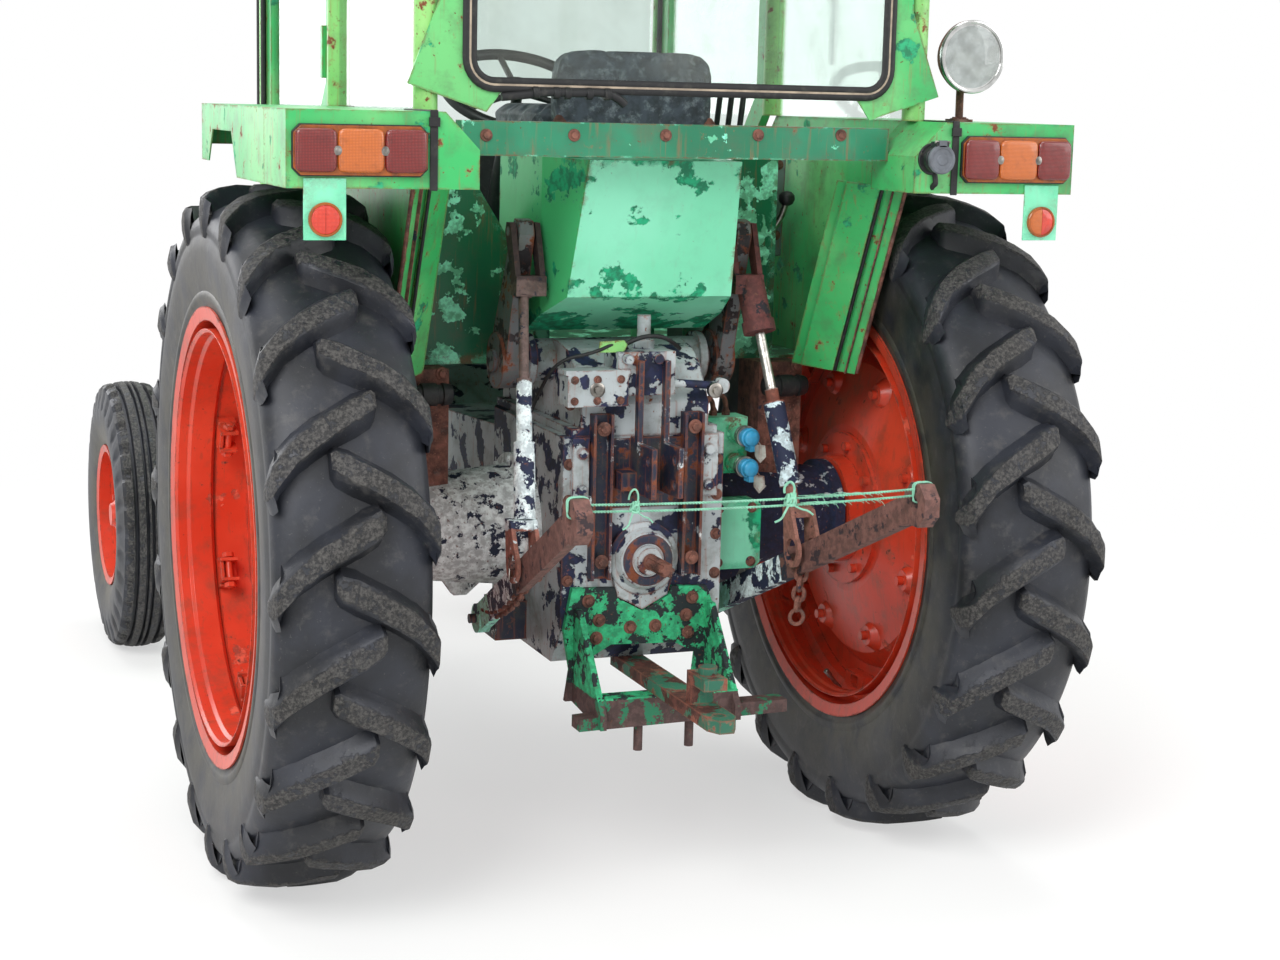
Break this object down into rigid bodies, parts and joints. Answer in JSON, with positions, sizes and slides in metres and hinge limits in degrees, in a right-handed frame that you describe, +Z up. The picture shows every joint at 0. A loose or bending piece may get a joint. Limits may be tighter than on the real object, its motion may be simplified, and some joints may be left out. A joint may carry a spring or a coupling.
{
  "type": "farm tractor with cab and three-point hitch",
  "caption": "Two-wheel-drive farm tractor with a closed cab, large lugged rear wheels, steered front wheels, rear three-point hitch, drawbar and power shaft",
  "frame": {"origin": "on the ground, under the middle of the overall length and width", "axes": "+X to the right, +Y ahead, +Z up"},
  "size_m": [1.844, 3.644, 2.55],
  "materials": {
    "tyre_rubber": "moulded, dusty",
    "rim_paint": "sprayed, worn",
    "casting_paint": "brushed paint, chipped",
    "green_paint": "sprayed, chipped",
    "pale_green_paint": "brushed paint, chipped",
    "dark_green_paint": "sprayed, scratched",
    "roof_paint": "sprayed",
    "rusty_steel": "rusted",
    "bare_steel": "worn",
    "engine_paint": "oily",
    "black_plastic": "moulded",
    "seat_vinyl": "worn, torn",
    "window_glass": "dusty",
    "lamp_lens": "moulded",
    "lamp_glass": "ribbed",
    "twine": "twisted"
  },
  "bodies": {
    "chassis": {"gearbox_housing": "casting_paint", "axle_trumpets": "casting_paint", "lift_housing": "casting_paint", "pto_cover": "casting_paint", "engine_block": "engine_paint", "radiator": "black_plastic", "exhaust_stack": "rusty_steel", "front_frame": "casting_paint", "front_axle": "casting_paint", "link_brackets": "casting_paint", "hitch_rails": "rusty_steel", "drawbar_frame": "green_paint", "drawbar": "rusty_steel", "hydraulic_couplers": "bare_steel", "fender_left": "green_paint", "fender_right": "green_paint", "light_boxes": "green_paint", "tail_lamps": "lamp_lens", "work_lamp": "lamp_glass", "trailer_socket": "black_plastic", "cab_frame": "green_paint", "roof": "roof_paint", "cab_tub": "dark_green_paint", "rear_beam": "dark_green_paint", "rear_window_frame": "green_paint", "cab_glass": "window_glass", "seat_box": "pale_green_paint", "seat": "seat_vinyl", "dashboard": "black_plastic", "control_levers": "black_plastic", "steps": "rusty_steel", "cab_mounts": "rusty_steel", "hood_hinges": "bare_steel"},
    "rear_wheel_left": {"rear_rim_left": "rim_paint", "rear_tyre_left": "tyre_rubber"},
    "rear_wheel_right": {"rear_rim_right": "rim_paint", "rear_tyre_right": "tyre_rubber"},
    "steer_left": {"steering_knuckle_left": "casting_paint"},
    "steer_right": {"steering_knuckle_right": "casting_paint"},
    "front_wheel_left": {"front_rim_left": "rim_paint", "front_tyre_left": "tyre_rubber"},
    "front_wheel_right": {"front_rim_right": "rim_paint", "front_tyre_right": "tyre_rubber"},
    "tie_bar": {"tie_rod": "bare_steel"},
    "steering": {"steering_wheel": "black_plastic"},
    "lift": {"lift_arms": "casting_paint"},
    "lift_rods": {"lift_rod_left": "rusty_steel", "lift_rod_right": "rusty_steel"},
    "lower_links": {"lower_link_left": "rusty_steel", "lower_link_right": "rusty_steel", "link_twine": "twine"},
    "pto": {"pto_shaft": "bare_steel"},
    "left_door": {"door_left": "green_paint", "door_glass_left": "window_glass"},
    "right_door": {"door_right": "green_paint", "door_glass_right": "window_glass"},
    "hood_lid": {"hood": "green_paint", "grille_panel": "green_paint", "headlamps": "lamp_glass"}
  },
  "joints": [
    {"name": "rear_wheel_left_spin", "type": "hinge", "parent": "chassis", "child": "rear_wheel_left", "pos_m": [-0.752, -0.878, 0.775], "axis": [1, 0, 0], "continuous": true},
    {"name": "rear_wheel_right_spin", "type": "hinge", "parent": "chassis", "child": "rear_wheel_right", "pos_m": [0.752, -0.878, 0.775], "axis": [1, 0, 0], "continuous": true},
    {"name": "steer_left_pivot", "type": "hinge", "parent": "chassis", "child": "steer_left", "pos_m": [-0.6, 1.322, 0.5], "axis": [0, 0, 1], "range_deg": [-40, 40]},
    {"name": "steer_right_pivot", "type": "hinge", "parent": "chassis", "child": "steer_right", "pos_m": [0.6, 1.322, 0.5], "axis": [0, 0, 1], "range_deg": [-40, 40]},
    {"name": "tie_bar_pivot", "type": "hinge", "parent": "steer_left", "child": "tie_bar", "pos_m": [-0.6, 1.152, 0.4], "axis": [0, 0, 1], "range_deg": [-40, 40]},
    {"name": "steering_turn", "type": "hinge", "parent": "chassis", "child": "steering", "pos_m": [0, -0.238, 1.76], "axis": [0, -0.4943, 0.8693], "range_deg": [-480, 480]},
    {"name": "front_wheel_left_spin", "type": "hinge", "parent": "steer_left", "child": "front_wheel_left", "pos_m": [-0.755, 1.322, 0.42], "axis": [1, 0, 0], "continuous": true},
    {"name": "front_wheel_right_spin", "type": "hinge", "parent": "steer_right", "child": "front_wheel_right", "pos_m": [0.755, 1.322, 0.42], "axis": [1, 0, 0], "continuous": true},
    {"name": "lift_swing", "type": "hinge", "parent": "chassis", "child": "lift", "pos_m": [0, -0.958, 1.165], "axis": [1, 0, 0], "range_deg": [0, 60]},
    {"name": "lift_rod_swing", "type": "hinge", "parent": "lift", "child": "lift_rods", "pos_m": [0, -1.078, 1.46], "axis": [1, 0, 0], "range_deg": [-48, 0]},
    {"name": "lower_link_swing", "type": "hinge", "parent": "chassis", "child": "lower_links", "pos_m": [0, -0.898, 0.56], "axis": [1, 0, 0], "range_deg": [0, 35]},
    {"name": "pto_spin", "type": "hinge", "parent": "chassis", "child": "pto", "pos_m": [0, -1.278, 0.745], "axis": [0, 1, 0], "continuous": true},
    {"name": "left_door_swing", "type": "hinge", "parent": "chassis", "child": "left_door", "pos_m": [-0.596, 0.172, 1.75], "axis": [0, 0, -1], "range_deg": [0, 75]},
    {"name": "right_door_swing", "type": "hinge", "parent": "chassis", "child": "right_door", "pos_m": [0.596, 0.172, 1.75], "axis": [0, 0, 1], "range_deg": [0, 75]},
    {"name": "hood_swing", "type": "hinge", "parent": "chassis", "child": "hood_lid", "pos_m": [0, 0.222, 1.516], "axis": [1, 0, 0], "range_deg": [0, 50]}
  ],
  "couplings": [
    {"joint": "steer_right_pivot", "follows": "steer_left_pivot", "ratio": 1},
    {"joint": "tie_bar_pivot", "follows": "steer_left_pivot", "ratio": -1},
    {"joint": "steering_turn", "follows": "steer_left_pivot", "ratio": 12},
    {"joint": "lift_rod_swing", "follows": "lift_swing", "ratio": -0.7839},
    {"joint": "lower_link_swing", "follows": "lift_swing", "ratio": 0.5698}
  ]
}
